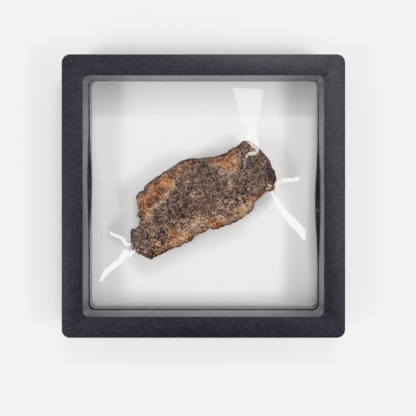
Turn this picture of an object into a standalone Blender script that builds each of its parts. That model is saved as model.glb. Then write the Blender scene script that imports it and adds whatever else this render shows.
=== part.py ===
"""Iron meteorite slab hung between two stretched clear films in a black two-part frame.

The frame lies flat. The origin is at the centre of its back face, +Z comes out of
the front face, +Y is the top edge of the window and +X its right edge.

Each half of the frame is a moulded channel: an outer wall, a face and an inner wall
that leans in towards the parting line. The front half has a tongue that drops inside
the outer wall of the back half. A flat ring with a film stretched over it lies at the
parting line of each half, so the two films meet back to back and press on the stone
from both sides. Nothing else holds it.
"""
import math

import bmesh
import bpy
import numpy as np
from mathutils import Vector, geometry, noise

MM = 0.001

# Frame
FRAME_SIDE = 110 * MM
FRAME_DEPTH = 20 * MM
CORNER_RADIUS = 3.2 * MM
EDGE_ROUND = 0.4 * MM
BAR_WIDTH = 8.2 * MM
WINDOW_RADIUS = 2.5 * MM
WALL_DRAFT = 0.7 * MM
WALL = 1.5 * MM
GAP = 0.3 * MM
TONGUE_DEPTH = 1.2 * MM
TONGUE_THICKNESS = 0.6 * MM
CORNER_STEPS = 5

# Ring and film
RING_THICKNESS = 0.5 * MM
RING_REVEAL = 0.4 * MM
RING_OUTER_INSET = 2.0 * MM
RING_CORNER_RADIUS = 1.6 * MM
RING_CORNER_STEPS = 3
RING_SIDE_STEPS = 8
LEFT_BOW = {"depth": 0.8 * MM, "centre": 5 * MM, "reach": 24 * MM}
RIGHT_BOW = {"depth": 1.1 * MM, "centre": -3 * MM, "reach": 27 * MM}
FILM_THICKNESS = 0.2 * MM
FILM_OUTER_INSET = 2.6 * MM
FILM_CELLS = 14
FILM_CLEARANCE = 0.3 * MM
FILM_AIR_LIFT = 4.0
FILM_AIR_LEAN = (-3.0, -12.5)

# Stone, which leans a little so that its lower long edge is nearer the front
STONE_HALF_THICKNESS = 4.2 * MM
STONE_LEAN = (0.04, -0.07)
STONE_MESH_STEP = 1.1 * MM
NUDGE_SCALE = 1.1 * MM
NUDGE_SHARE = 0.4
RIM_INSET = 0.3 * MM
RIM_SHARE = 0.55
RIM_WANDER = 1.4 * MM
CHIP_SCALE = 3.4 * MM
CHIP_INSET = 1.6 * MM
EDGE_ROLL = 2.4 * MM
RECESS_STEP = 0.6 * MM

# Swells and sharp-edged crags of the crust as (width, height)
SWELLS_MM = [(7.0, 0.35), (2.6, 0.25)]
CRAGS_MM = [(4.2, 0.55), (1.9, 0.45)]

# Outline of the slab seen from the front, clockwise from its left end
STONE_OUTLINE_MM = [
    (-28.9, -13.9), (-28.0, -14.2), (-26.4, -13.1), (-25.8, -12.0), (-25.8, -10.4), (-25.6, -9.0),
    (-26.8, -8.4), (-26.6, -7.4), (-26.0, -6.8), (-26.4, -5.0), (-26.9, -3.0), (-27.1, -0.3),
    (-26.4, 0.7), (-25.6, 1.3), (-24.7, 1.4), (-24.1, 2.8), (-23.2, 3.8), (-22.1, 5.0),
    (-20.8, 5.9), (-19.4, 6.7), (-18.0, 7.6), (-16.5, 8.8), (-15.1, 9.9), (-13.8, 10.7),
    (-12.4, 11.4), (-11.0, 12.2), (-9.8, 13.1), (-8.5, 13.8), (-7.0, 14.3), (-5.7, 14.6),
    (-4.4, 14.7), (-3.1, 14.4), (-1.8, 14.2), (-0.8, 14.5), (0.4, 15.0), (1.7, 15.1),
    (3.1, 15.2), (4.5, 15.3), (5.8, 15.7), (7.3, 16.1), (8.7, 16.7), (9.8, 17.4),
    (11.0, 18.4), (12.3, 19.0), (13.7, 19.6), (14.8, 20.6), (15.8, 21.4), (17.0, 21.7),
    (18.2, 21.8), (19.4, 21.1), (20.5, 20.1), (21.5, 19.2), (22.6, 18.1), (23.6, 17.0),
    (24.6, 15.9), (25.6, 14.9), (26.5, 13.8), (26.9, 12.4), (27.3, 11.0), (28.1, 9.9),
    (28.7, 8.7), (29.0, 7.4), (29.1, 6.3), (28.5, 5.3), (28.3, 4.2), (28.4, 3.1),
    (28.0, 2.2), (26.7, 1.8), (25.3, 1.1), (23.9, 0.3), (22.6, -0.7), (21.4, -1.5),
    (20.4, -2.6), (20.0, -3.9), (19.9, -5.1), (18.9, -6.2), (17.8, -7.2), (16.6, -8.2),
    (15.4, -9.1), (14.3, -9.8), (13.1, -10.3), (11.9, -10.9), (10.6, -11.5), (9.2, -11.9),
    (7.9, -12.4), (6.5, -12.9), (5.3, -13.6), (4.2, -13.8), (3.0, -13.3), (1.8, -13.5),
    (0.7, -14.2), (-0.6, -14.8), (-1.9, -15.5), (-3.1, -16.3), (-4.2, -17.2), (-5.2, -18.2),
    (-6.5, -18.9), (-7.8, -19.5), (-9.1, -20.2), (-10.4, -20.8), (-11.8, -21.0), (-13.1, -21.4),
    (-14.4, -22.0), (-15.6, -22.7), (-16.8, -23.4), (-18.0, -24.1), (-19.4, -24.6), (-20.4, -25.3),
    (-21.5, -25.6), (-22.6, -25.0), (-23.8, -24.3), (-25.1, -23.8), (-26.5, -23.2), (-27.8, -22.4),
    (-28.7, -21.4), (-29.0, -20.0), (-29.2, -18.5), (-29.4, -16.9), (-29.4, -15.4),
]

# Places on the front where the dark crust has flaked off, each with its depth
FRONT_RECESSES_MM = [
    (0.8, [(-28.5, -6.5), (-28.5, 8.0), (-12.0, 14.0), (-12.3, 9.0), (-12.8, 5.2), (-12.5, 1.2),
           (-14.6, -0.6), (-17.2, -2.4), (-20.4, -4.8), (-21.6, -8.2), (-21.0, -11.2),
           (-23.0, -13.6), (-27.0, -12.8)]),
    (0.7, [(2.6, 17.5), (13.0, 21.0), (12.2, 16.4), (13.3, 13.2), (12.4, 10.8), (9.8, 10.6),
           (6.2, 10.4), (4.0, 12.4)]),
    (0.8, [(-14.2, -13.6), (-11.9, -12.6), (-9.6, -13.7), (-6.2, -15.1), (-5.0, -17.4),
           (-6.0, -20.0), (-12.0, -23.0), (-14.0, -20.4), (-14.6, -17.0)]),
    (0.6, [(1.4, -11.4), (3.6, -9.6), (6.2, -9.0), (7.4, -10.6), (8.6, -12.2), (5.0, -15.0),
           (1.0, -15.0)]),
    (0.5, [(19.0, 0.6), (22.6, 1.0), (26.0, 1.4), (24.0, -2.0), (20.0, -6.0), (17.8, -2.6)]),
]
BACK_RECESSES_MM = [
    (0.8, [(-26.0, -24.0), (-9.0, -24.0), (-8.4, -16.6), (-12.6, -13.2), (-19.4, -14.6),
           (-24.0, -19.0)]),
    (0.6, [(6.0, 17.0), (18.4, 23.0), (21.0, 14.4), (15.6, 9.4), (8.2, 10.2)]),
]

# Broad swellings and hollows as (x, y, reach, height)
FRONT_LUMPS_MM = [
    (-7.0, 3.5, 9.0, 0.40), (15.5, 7.5, 8.0, 0.35), (-19.0, -18.0, 6.5, 0.30),
    (-14.0, -7.0, 5.0, 0.25), (6.0, -5.0, 7.0, 0.22), (-1.0, -10.5, 4.5, -0.35),
    (5.5, 6.0, 4.5, -0.30), (23.0, 11.0, 4.0, -0.40), (-3.5, 8.8, 3.0, -0.40),
    (26.4, 10.8, 5.0, -1.60), (29.5, 7.0, 3.0, -0.60), (18.0, 20.0, 5.0, -1.20),
    (28.0, 3.0, 3.0, -0.35), (-28.5, -18.0, 3.0, -0.30),
]
BACK_LUMPS_MM = [
    (-16.0, -2.0, 8.0, 0.35), (2.0, 4.0, 9.0, 0.30), (19.0, 9.0, 6.0, 0.35),
    (-4.0, -9.0, 5.0, 0.30), (-9.0, 8.0, 5.0, -0.45), (12.0, -3.0, 5.0, -0.40),
]

# Ledges and cracks as (width, depth, path)
FRONT_GROOVES_MM = [
    (0.8, 0.55, [(-6.4, 11.8), (-3.6, 12.8), (-0.4, 12.6), (1.6, 11.4), (2.6, 9.6)]),
    (0.7, 0.35, [(-5.0, 9.0), (-2.8, 8.6), (0.6, 8.0)]),
    (0.6, 0.30, [(-2.6, -5.6), (-0.4, -6.8), (1.6, -8.2)]),
    (0.7, 0.35, [(11.8, 6.6), (12.4, 3.8), (13.8, 2.0)]),
]
BACK_GROOVES_MM = [
    (0.8, 0.45, [(-22.0, 1.0), (-14.0, 5.0), (-6.0, 4.4)]),
    (0.7, 0.40, [(4.0, -8.0), (9.0, -2.0), (10.6, 4.0)]),
]

# Small pits as (x, y, reach, depth)
FRONT_PITS_MM = [
    (-22.3, -11.0, 0.8, 0.7), (-22.6, -14.6, 0.9, 0.5), (-15.6, 0.2, 0.7, 0.5),
    (-18.0, -7.4, 0.8, 0.4), (16.2, 12.6, 0.8, 0.5), (-1.6, -9.0, 0.7, 0.4),
    (20.6, 3.4, 0.8, 0.4),
]
BACK_PITS_MM = [
    (-20.0, -9.0, 1.2, 0.7), (-2.0, 10.0, 1.0, 0.6), (14.0, 15.0, 1.3, 0.7), (8.0, 1.0, 1.0, 0.5),
]

FRONT_SIDE = {
    "facing": 1, "seed": 11.0, "recesses": FRONT_RECESSES_MM, "lumps": FRONT_LUMPS_MM,
    "grooves": FRONT_GROOVES_MM, "pits": FRONT_PITS_MM,
}
BACK_SIDE = {
    "facing": -1, "seed": 37.0, "recesses": BACK_RECESSES_MM, "lumps": BACK_LUMPS_MM,
    "grooves": BACK_GROOVES_MM, "pits": BACK_PITS_MM,
}

# Worked out from the driving dimensions
HALF_SIDE = FRAME_SIDE / 2
MID_PLANE = FRAME_DEPTH / 2
WINDOW_HALF = HALF_SIDE - BAR_WIDTH
FOOT_HALF = WINDOW_HALF - WALL_DRAFT
RING_HALF = FOOT_HALF - RING_REVEAL
PARTING = GAP / 2
RING_LOW = PARTING + FILM_THICKNESS + GAP
WALL_FOOT = RING_LOW + RING_THICKNESS + GAP


def clear_scene():
    """Start from an empty scene."""
    for thing in list(bpy.data.objects):
        bpy.data.objects.remove(thing, do_unlink=True)


def material(name, colour, roughness, metallic=0.0, transmission=0.0):
    """A Principled material in linear colour."""
    made = bpy.data.materials.new(name)
    made.use_nodes = True
    shader = made.node_tree.nodes["Principled BSDF"]
    shader.inputs["Base Color"].default_value = (*colour, 1.0)
    shader.inputs["Roughness"].default_value = roughness
    shader.inputs["Metallic"].default_value = metallic
    shader.inputs["Transmission Weight"].default_value = transmission
    return made


def add_object(name, mesh_data, finish):
    """Turn a finished bmesh into a named object with its outside facing out."""
    bmesh.ops.recalc_face_normals(mesh_data, faces=mesh_data.faces)
    mesh = bpy.data.meshes.new(name)
    mesh_data.to_mesh(mesh)
    mesh_data.free()
    mesh.materials.append(finish)
    thing = bpy.data.objects.new(name, mesh)
    bpy.context.scene.collection.objects.link(thing)
    return thing


def shade(thing, angle_deg):
    """Smooth shading with creases at the real edges."""
    thing.data.shade_smooth()
    thing.data.set_sharp_from_angle(angle=math.radians(angle_deg))


def bow(place, shape):
    """How far a ring's side leans in at one place along it."""
    share = (place - shape["centre"]) / shape["reach"]
    if abs(share) >= 1:
        return 0.0
    return shape["depth"] * math.cos(share * math.pi / 2) ** 2


def rounded_square(half, radius, corner_steps, side_steps=1, bowed=False):
    """Points round a square with round corners, counter-clockwise from the right side."""
    points = []
    straight = half - radius
    for corner in range(4):
        turn = corner * math.pi / 2
        for step in range(side_steps):
            along = -straight + 2 * straight * step / side_steps
            if step == 0:
                continue
            points.append(turned(half, along, turn))
        for step in range(corner_steps + 1):
            angle = math.pi / 2 * step / corner_steps
            points.append(turned(straight + radius * math.cos(angle),
                                 straight + radius * math.sin(angle), turn))
    if not bowed:
        return points
    leaned = []
    for x, y in points:
        if x > straight:
            x -= bow(y, RIGHT_BOW)
        if x < -straight:
            x += bow(y, LEFT_BOW)
        leaned.append((x, y))
    return leaned


def turned(x, y, angle):
    """A point turned about the origin."""
    return (x * math.cos(angle) - y * math.sin(angle), x * math.sin(angle) + y * math.cos(angle))


def loft(loops, closed):
    """Faces between neighbouring loops of (points, height), joined round if closed."""
    body = bmesh.new()
    rows = []
    for points, height in loops:
        rows.append([body.verts.new((x, y, height)) for x, y in points])
    last = len(rows) if closed else len(rows) - 1
    for index in range(last):
        near = rows[index]
        far = rows[(index + 1) % len(rows)]
        count = len(near)
        for step in range(count):
            following = (step + 1) % count
            body.faces.new((near[step], near[following], far[following], far[step]))
    return body


def frame_section(has_tongue):
    """Section of one half as (inset from the outer side, height over the parting plane)."""
    top = MID_PLANE
    ceiling = top - WALL
    foot_inset = BAR_WIDTH + WALL_DRAFT
    outside = [
        (0.0, PARTING),
        (0.0, top - EDGE_ROUND),
        (EDGE_ROUND * 0.3, top - EDGE_ROUND * 0.3),
        (EDGE_ROUND, top),
        (BAR_WIDTH - EDGE_ROUND * 0.6, top),
        (BAR_WIDTH, top - EDGE_ROUND * 0.6),
        (foot_inset, WALL_FOOT),
    ]
    inside = [
        (foot_inset - WALL, WALL_FOOT),
        (BAR_WIDTH - WALL, ceiling),
        (WALL, ceiling),
    ]
    lip = WALL - TONGUE_THICKNESS
    if has_tongue:
        joint = [(WALL, PARTING - TONGUE_DEPTH), (lip, PARTING - TONGUE_DEPTH), (lip, PARTING)]
    else:
        rebate = PARTING + TONGUE_DEPTH
        joint = [(WALL, rebate), (lip - GAP, rebate), (lip - GAP, PARTING)]
    return outside + inside + joint


def corner_radius_at(inset):
    """Corner radius of the loop at one inset, from the outer corner to the window's."""
    share = min(inset / BAR_WIDTH, 1.0)
    return CORNER_RADIUS * (1 - share) + WINDOW_RADIUS * share


def make_frame_half(name, side, finish):
    """One moulded half: side is 1 for the front half and -1 for the back half."""
    loops = []
    for inset, height in frame_section(has_tongue=side > 0):
        points = rounded_square(HALF_SIDE - inset, corner_radius_at(inset), CORNER_STEPS)
        loops.append((points, MID_PLANE + side * height))
    half = add_object(name, loft(loops, closed=True), finish)
    shade(half, 35)
    return half


def make_ring(name, side, finish):
    """The flat ring that a film is stretched over, its left and right sides pulled in."""
    low = MID_PLANE + side * RING_LOW
    high = MID_PLANE + side * (RING_LOW + RING_THICKNESS)
    outer = rounded_square(HALF_SIDE - RING_OUTER_INSET, RING_CORNER_RADIUS, RING_CORNER_STEPS,
                           RING_SIDE_STEPS)
    inner = rounded_square(RING_HALF, WINDOW_RADIUS, RING_CORNER_STEPS, RING_SIDE_STEPS, bowed=True)
    ring = add_object(name, loft([(outer, low), (outer, high), (inner, high), (inner, low)],
                                 closed=True), finish)
    shade(ring, 35)
    return ring


def in_metres(points):
    """Millimetre points as an array in metres."""
    return np.array(points, dtype=float) * MM


def path_distance(points, path, closed):
    """Distance of each point from a path of straight pieces."""
    starts = path
    ends = np.roll(path, -1, axis=0)
    if not closed:
        starts = starts[:-1]
        ends = ends[:-1]
    runs = ends - starts
    lengths = np.maximum((runs ** 2).sum(axis=1), 1e-18)
    offsets = points[:, None, :] - starts[None, :, :]
    shares = np.clip((offsets * runs[None]).sum(axis=2) / lengths[None], 0.0, 1.0)
    gaps = offsets - shares[..., None] * runs[None]
    return np.sqrt((gaps ** 2).sum(axis=2)).min(axis=1)


def inside_path(points, path):
    """Which points lie inside a closed path."""
    found = np.zeros(len(points), dtype=bool)
    for start, end in zip(path, np.roll(path, -1, axis=0)):
        if start[1] == end[1]:
            continue
        crosses = (start[1] > points[:, 1]) != (end[1] > points[:, 1])
        reach = start[0] + (points[:, 1] - start[1]) * (end[0] - start[0]) / (end[1] - start[1])
        found ^= crosses & (points[:, 0] < reach)
    return found


def smooth_step(values):
    """Ease from 0 to 1."""
    shares = np.clip(values, 0.0, 1.0)
    return shares * shares * (3 - 2 * shares)


def rough(points, scale, seed):
    """Even noise from -1 to 1 at each point, with lumps about one scale wide."""
    return np.array([noise.noise(Vector((x / scale, y / scale, seed))) for x, y in points])


def stone_height(points, outline, side):
    """Height of one broad side of the slab over its middle plane."""
    edge = path_distance(points, outline, closed=True)
    share = np.clip(edge / EDGE_ROLL, 0.0, 1.0)
    height = STONE_HALF_THICKNESS * (RIM_SHARE + (1 - RIM_SHARE) * (1 - (1 - share) ** 2))
    for x, y, reach, rise in side["lumps"]:
        far = np.hypot(points[:, 0] - x * MM, points[:, 1] - y * MM) / (reach * MM)
        height += rise * MM * np.exp(-far ** 2)
    for depth, path in side["recesses"]:
        border = in_metres(path)
        gap = path_distance(points, border, closed=True)
        gap = np.where(inside_path(points, border), gap, 0.0)
        height -= depth * MM * smooth_step(gap / RECESS_STEP)
    for width, depth, path in side["grooves"]:
        gap = path_distance(points, in_metres(path), closed=False)
        height -= depth * MM * np.exp(-(gap / (width * MM)) ** 2)
    for x, y, reach, depth in side["pits"]:
        far = np.hypot(points[:, 0] - x * MM, points[:, 1] - y * MM) / (reach * MM)
        height -= depth * MM * np.exp(-far ** 2)
    for scale, rise in SWELLS_MM:
        height += rise * MM * rough(points, scale * MM, side["seed"] + scale)
    for scale, rise in CRAGS_MM:
        height -= rise * MM * np.abs(rough(points, scale * MM, side["seed"] - scale))
    return height


def lean_at(points):
    """How far the slab's lean lifts it at each point."""
    return points @ np.array(STONE_LEAN)


def resample(path, step):
    """A closed path with its points spread evenly, about one step apart."""
    runs = np.roll(path, -1, axis=0) - path
    lengths = np.hypot(runs[:, 0], runs[:, 1])
    ends = np.concatenate([[0.0], np.cumsum(lengths)])
    count = int(round(ends[-1] / step))
    ring = np.vstack([path, path[:1]])
    places = np.linspace(0.0, ends[-1], count, endpoint=False)
    return np.stack([np.interp(places, ends, ring[:, 0]), np.interp(places, ends, ring[:, 1])], axis=1)


def inset_path(path, depths):
    """A clockwise closed path moved inwards along its normals, by one depth for each point."""
    tangents = np.roll(path, -1, axis=0) - np.roll(path, 1, axis=0)
    tangents /= np.hypot(tangents[:, 0], tangents[:, 1])[:, None]
    inwards = np.stack([tangents[:, 1], -tangents[:, 0]], axis=1)
    return path + inwards * depths[:, None]


def fill_points(border, step):
    """Points on a triangular grid inside a border, nudged so that no row shows."""
    low = border.min(axis=0)
    high = border.max(axis=0)
    row_gap = step * math.sqrt(3) / 2
    found = []
    for row in range(int((high[1] - low[1]) / row_gap) + 1):
        for column in range(int((high[0] - low[0]) / step) + 2):
            x = low[0] + (column + 0.5 * (row % 2)) * step
            y = low[1] + row * row_gap
            found.append((x, y))
    found = np.array(found)
    nudge_x = rough(found, NUDGE_SCALE, 3.1)
    nudge_y = rough(found, NUDGE_SCALE, 8.7)
    found += NUDGE_SHARE * step * np.stack([nudge_x, nudge_y], axis=1)
    keep = inside_path(found, border) & (path_distance(found, border, closed=True) > 0.55 * step)
    return found[keep]


def add_broad_side(body, rim, middle, side):
    """One broad side of the slab, from the middle of its rim over the whole face."""
    chip = np.abs(rough(rim, CHIP_SCALE, side["seed"] + 20.0))
    border = inset_path(rim, RIM_INSET + CHIP_INSET * chip)
    points = np.vstack([border, fill_points(border, STONE_MESH_STEP)])
    count = len(border)
    corners = [Vector(point) for point in points]
    sheet = geometry.delaunay_2d_cdt(corners, [], [list(range(count))], 0, 1e-7, True)
    flat = np.array([tuple(corner) for corner in sheet[0]])
    place = {source[0]: index for index, source in enumerate(sheet[3])}
    triangles = np.array(sheet[2])
    triangles = triangles[inside_path(flat[triangles].mean(axis=1), border)]
    rise = stone_height(flat, in_metres(STONE_OUTLINE_MM), side)
    height = MID_PLANE + lean_at(flat) + side["facing"] * rise
    verts = [body.verts.new((x, y, z)) for (x, y), z in zip(flat, height)]
    for face in triangles:
        body.faces.new([verts[index] for index in face])
    for step in range(count):
        following = (step + 1) % count
        body.faces.new((verts[place[step]], verts[place[following]], middle[following], middle[step]))


def make_stone(name, finish):
    """The slab: a rough rim, and a front and a back with recesses, ledges and pits."""
    body = bmesh.new()
    rim = resample(in_metres(STONE_OUTLINE_MM), STONE_MESH_STEP)
    lift = lean_at(rim) + RIM_WANDER * rough(rim, CHIP_SCALE, 71.0)
    middle = [body.verts.new((x, y, MID_PLANE + z)) for (x, y), z in zip(rim, lift)]
    add_broad_side(body, rim, middle, FRONT_SIDE)
    add_broad_side(body, rim, middle, BACK_SIDE)
    bmesh.ops.triangulate(body, faces=body.faces)
    stone = add_object(name, body, finish)
    shade(stone, 30)
    return stone


def film_lines():
    """Grid lines of a film: its edge, the ring's inner edge, then even cells between."""
    edge = HALF_SIDE - FILM_OUTER_INSET
    inner = RING_HALF - LEFT_BOW["depth"]
    between = [-inner + 2 * inner * step / FILM_CELLS for step in range(FILM_CELLS + 1)]
    return np.array([-edge] + between + [edge])


def film_floor(lines, stone, side):
    """Least height of a film over the parting plane at each grid point, to clear the stone."""
    count = len(lines)
    floor = np.full((count, count), PARTING)
    reach = STONE_MESH_STEP
    for vertex in stone.data.vertices:
        x, y, z = vertex.co
        need = side * (z - MID_PLANE) + FILM_CLEARANCE
        for shift_x in (-reach, reach):
            for shift_y in (-reach, reach):
                column = int(np.searchsorted(lines, x + shift_x)) - 1
                row = int(np.searchsorted(lines, y + shift_y)) - 1
                block = floor[column:column + 2, row:row + 2]
                np.maximum(block, need, out=block)
    return floor


def stretched(lines, floor, side):
    """Heights of a film drawn tight over the floor and filled by air, its border on the ring."""
    height = floor.copy()
    gaps = np.diff(lines)
    left = gaps[:-1]
    right = gaps[1:]
    weight_left = 2 / (left * (left + right))
    weight_right = 2 / (right * (left + right))
    total = (weight_left + weight_right)[:, None] + (weight_left + weight_right)[None, :]
    inner = slice(1, -1)
    lean_x, lean_y = FILM_AIR_LEAN
    slant = (lean_x * lines[inner, None] + lean_y * lines[None, inner]) / RING_HALF
    air = FILM_AIR_LIFT + side * slant
    for _ in range(900):
        across = weight_left[:, None] * height[:-2, inner] + weight_right[:, None] * height[2:, inner]
        along = weight_left[None, :] * height[inner, :-2] + weight_right[None, :] * height[inner, 2:]
        relaxed = np.maximum((across + along + air) / total, floor[inner, inner])
        height[inner, inner] = relaxed
        height[1, :] = PARTING
        height[-2, :] = PARTING
        height[:, 1] = PARTING
        height[:, -2] = PARTING
    return height


def make_film(name, side, stone, finish):
    """A clear film, flat where the ring backs it and drawn up over the stone."""
    lines = film_lines()
    height = stretched(lines, film_floor(lines, stone, side), side)
    count = len(lines)
    body = bmesh.new()
    sheets = []
    for lift in (0.0, FILM_THICKNESS):
        grid = [[body.verts.new((lines[i], lines[j], MID_PLANE + side * (height[i, j] + lift)))
                 for j in range(count)] for i in range(count)]
        for i in range(count - 1):
            for j in range(count - 1):
                body.faces.new((grid[i][j], grid[i + 1][j], grid[i + 1][j + 1], grid[i][j + 1]))
        sheets.append(grid)
    rims = []
    for grid in sheets:
        rims.append([grid[i][0] for i in range(count - 1)]
                    + [grid[-1][j] for j in range(count - 1)]
                    + [grid[i][-1] for i in range(count - 1, 0, -1)]
                    + [grid[0][j] for j in range(count - 1, 0, -1)])
    for step in range(len(rims[0])):
        following = (step + 1) % len(rims[0])
        body.faces.new((rims[0][step], rims[0][following], rims[1][following], rims[1][step]))
    bmesh.ops.triangulate(body, faces=body.faces)
    film = add_object(name, body, finish)
    shade(film, 60)
    return film


def main():
    clear_scene()
    black_plastic = material("black_moulded_plastic", (0.045, 0.045, 0.055), 0.55)
    ring_plastic = material("ring_plastic", (0.02, 0.02, 0.022), 0.4)
    clear_film = material("clear_film", (0.95, 0.95, 0.95), 0.05, transmission=1.0)
    rusted_iron = material("rusted_iron", (0.13, 0.075, 0.05), 0.7, metallic=0.3)
    stone = make_stone("meteorite", rusted_iron)
    for prefix, side in (("front", 1), ("back", -1)):
        make_frame_half(prefix + "_frame", side, black_plastic)
        make_ring(prefix + "_film_ring", side, ring_plastic)
        make_film(prefix + "_film", side, stone, clear_film)


main()
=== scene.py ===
"""Looks of an iron meteorite slab hung between two clear films in a black display frame."""

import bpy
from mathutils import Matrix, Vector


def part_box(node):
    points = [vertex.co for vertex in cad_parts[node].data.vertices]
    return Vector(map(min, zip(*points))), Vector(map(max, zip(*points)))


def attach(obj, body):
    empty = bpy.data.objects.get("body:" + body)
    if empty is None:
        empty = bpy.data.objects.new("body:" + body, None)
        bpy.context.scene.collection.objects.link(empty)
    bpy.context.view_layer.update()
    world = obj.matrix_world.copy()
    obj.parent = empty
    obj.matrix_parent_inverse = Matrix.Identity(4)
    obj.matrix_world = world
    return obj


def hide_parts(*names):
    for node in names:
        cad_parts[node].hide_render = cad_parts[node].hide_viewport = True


bl_info = {
    "name": "Framed Iron Meteorite",
    "version": (1, 0, 0),
    "blender": (4, 5, 0),
    "location": "View3D > Sidebar > Meteorite",
    "description": "Models a meteorite slab in its two-film display frame and sets up its scene",
    "category": "Object",
}

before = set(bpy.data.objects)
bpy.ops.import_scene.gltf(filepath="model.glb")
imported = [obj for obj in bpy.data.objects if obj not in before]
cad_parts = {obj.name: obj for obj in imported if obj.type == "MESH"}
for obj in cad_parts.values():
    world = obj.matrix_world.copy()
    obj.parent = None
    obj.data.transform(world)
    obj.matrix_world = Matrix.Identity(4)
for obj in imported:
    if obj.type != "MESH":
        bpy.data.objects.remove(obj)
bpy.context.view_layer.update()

import math

import bpy
import numpy as np
from bpy.props import FloatProperty, FloatVectorProperty, IntProperty, PointerProperty
from mathutils import Vector, noise

MM = 0.001
ROOT = "root"

# The frame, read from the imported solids
FRONT_HIGH = Vector(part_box("front_frame")[1])
BACK_LOW, BACK_HIGH = (Vector(corner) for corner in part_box("back_frame"))
RING_LOW, RING_HIGH = (Vector(corner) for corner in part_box("front_film_ring"))
FILM_LOW, FILM_HIGH = (Vector(corner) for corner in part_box("front_film"))
HALF_SIDE = FRONT_HIGH.x
FRAME_TOP = FRONT_HIGH.z
MID_PLANE = (FRONT_HIGH.z + BACK_LOW.z) / 2
PARTING = BACK_HIGH.z

# Moulded details that the settings leave alone
CORNER_RADIUS = 3.2 * MM
CORNER_SLACK = 0.1 * MM
TONGUE_LAP = 0.9 * MM
CUT_BEYOND = 2 * MM
OUTER_BAND = 4 * MM
INNER_EDGE_SHARE = 0.6
EDGE_STEPS = 3
LEVEL_SLACK = 1e-6
WALL_SLACK = 0.3 * MM
WALL_UPRIGHT = 0.4
CREASE_DEG = 30

# Outline of the slab seen from the front, clockwise from its left end
STONE_OUTLINE_MM = [
    (-28.9, -13.9), (-28.0, -14.2), (-26.4, -13.1), (-25.8, -12.0), (-25.8, -10.4), (-25.6, -9.0),
    (-26.8, -8.4), (-26.6, -7.4), (-26.0, -6.8), (-26.4, -5.0), (-26.9, -3.0), (-27.1, -0.3),
    (-26.4, 0.7), (-25.6, 1.3), (-24.7, 1.4), (-24.1, 2.8), (-23.2, 3.8), (-22.1, 5.0),
    (-20.8, 5.9), (-19.4, 6.7), (-18.0, 7.6), (-16.5, 8.8), (-15.1, 9.9), (-13.8, 10.7),
    (-12.4, 11.4), (-11.0, 12.2), (-9.8, 13.1), (-8.5, 13.8), (-7.0, 14.3), (-5.7, 14.6),
    (-4.4, 14.7), (-3.1, 14.4), (-1.8, 14.2), (-0.8, 14.5), (0.4, 15.0), (1.7, 15.1),
    (3.1, 15.2), (4.5, 15.3), (5.8, 15.7), (7.3, 16.1), (8.7, 16.7), (9.8, 17.4),
    (11.0, 18.4), (12.3, 19.0), (13.7, 19.6), (14.8, 20.6), (15.8, 21.4), (17.0, 21.7),
    (18.2, 21.8), (19.4, 21.1), (20.5, 20.1), (21.5, 19.2), (22.6, 18.1), (23.6, 17.0),
    (24.6, 15.9), (25.6, 14.9), (26.5, 13.8), (26.9, 12.4), (27.3, 11.0), (28.1, 9.9),
    (28.7, 8.7), (29.0, 7.4), (29.1, 6.3), (28.5, 5.3), (28.3, 4.2), (28.4, 3.1),
    (28.0, 2.2), (26.7, 1.8), (25.3, 1.1), (23.9, 0.3), (22.6, -0.7), (21.4, -1.5),
    (20.4, -2.6), (20.0, -3.9), (19.9, -5.1), (18.9, -6.2), (17.8, -7.2), (16.6, -8.2),
    (15.4, -9.1), (14.3, -9.8), (13.1, -10.3), (11.9, -10.9), (10.6, -11.5), (9.2, -11.9),
    (7.9, -12.4), (6.5, -12.9), (5.3, -13.6), (4.2, -13.8), (3.0, -13.3), (1.8, -13.5),
    (0.7, -14.2), (-0.6, -14.8), (-1.9, -15.5), (-3.1, -16.3), (-4.2, -17.2), (-5.2, -18.2),
    (-6.5, -18.9), (-7.8, -19.5), (-9.1, -20.2), (-10.4, -20.8), (-11.8, -21.0), (-13.1, -21.4),
    (-14.4, -22.0), (-15.6, -22.7), (-16.8, -23.4), (-18.0, -24.1), (-19.4, -24.6), (-20.4, -25.3),
    (-21.5, -25.6), (-22.6, -25.0), (-23.8, -24.3), (-25.1, -23.8), (-26.5, -23.2), (-27.8, -22.4),
    (-28.7, -21.4), (-29.0, -20.0), (-29.2, -18.5), (-29.4, -16.9), (-29.4, -15.4),
]

# Places on the front where the dark crust has flaked off, each with its depth
FRONT_RECESSES_MM = [
    (0.8, [(-28.5, -6.5), (-28.5, 8.0), (-12.0, 14.0), (-12.3, 9.0), (-12.8, 5.2), (-12.5, 1.2),
           (-14.6, -0.6), (-17.2, -2.4), (-20.4, -4.8), (-21.6, -8.2), (-21.0, -11.2),
           (-23.0, -13.6), (-27.0, -12.8)]),
    (0.7, [(2.6, 17.5), (13.0, 21.0), (12.2, 16.4), (13.3, 13.2), (12.4, 10.8), (9.8, 10.6),
           (6.2, 10.4), (4.0, 12.4)]),
    (0.8, [(-14.2, -13.6), (-11.9, -12.6), (-9.6, -13.7), (-6.2, -15.1), (-5.0, -17.4),
           (-6.0, -20.0), (-12.0, -23.0), (-14.0, -20.4), (-14.6, -17.0)]),
    (0.6, [(1.4, -11.4), (3.6, -9.6), (6.2, -9.0), (7.4, -10.6), (8.6, -12.2), (5.0, -15.0),
           (1.0, -15.0)]),
    (0.5, [(19.0, 0.6), (22.6, 1.0), (26.0, 1.4), (24.0, -2.0), (20.0, -6.0), (17.8, -2.6)]),
]
BACK_RECESSES_MM = [
    (0.8, [(-26.0, -24.0), (-9.0, -24.0), (-8.4, -16.6), (-12.6, -13.2), (-19.4, -14.6),
           (-24.0, -19.0)]),
    (0.6, [(6.0, 17.0), (18.4, 23.0), (21.0, 14.4), (15.6, 9.4), (8.2, 10.2)]),
]

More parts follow.
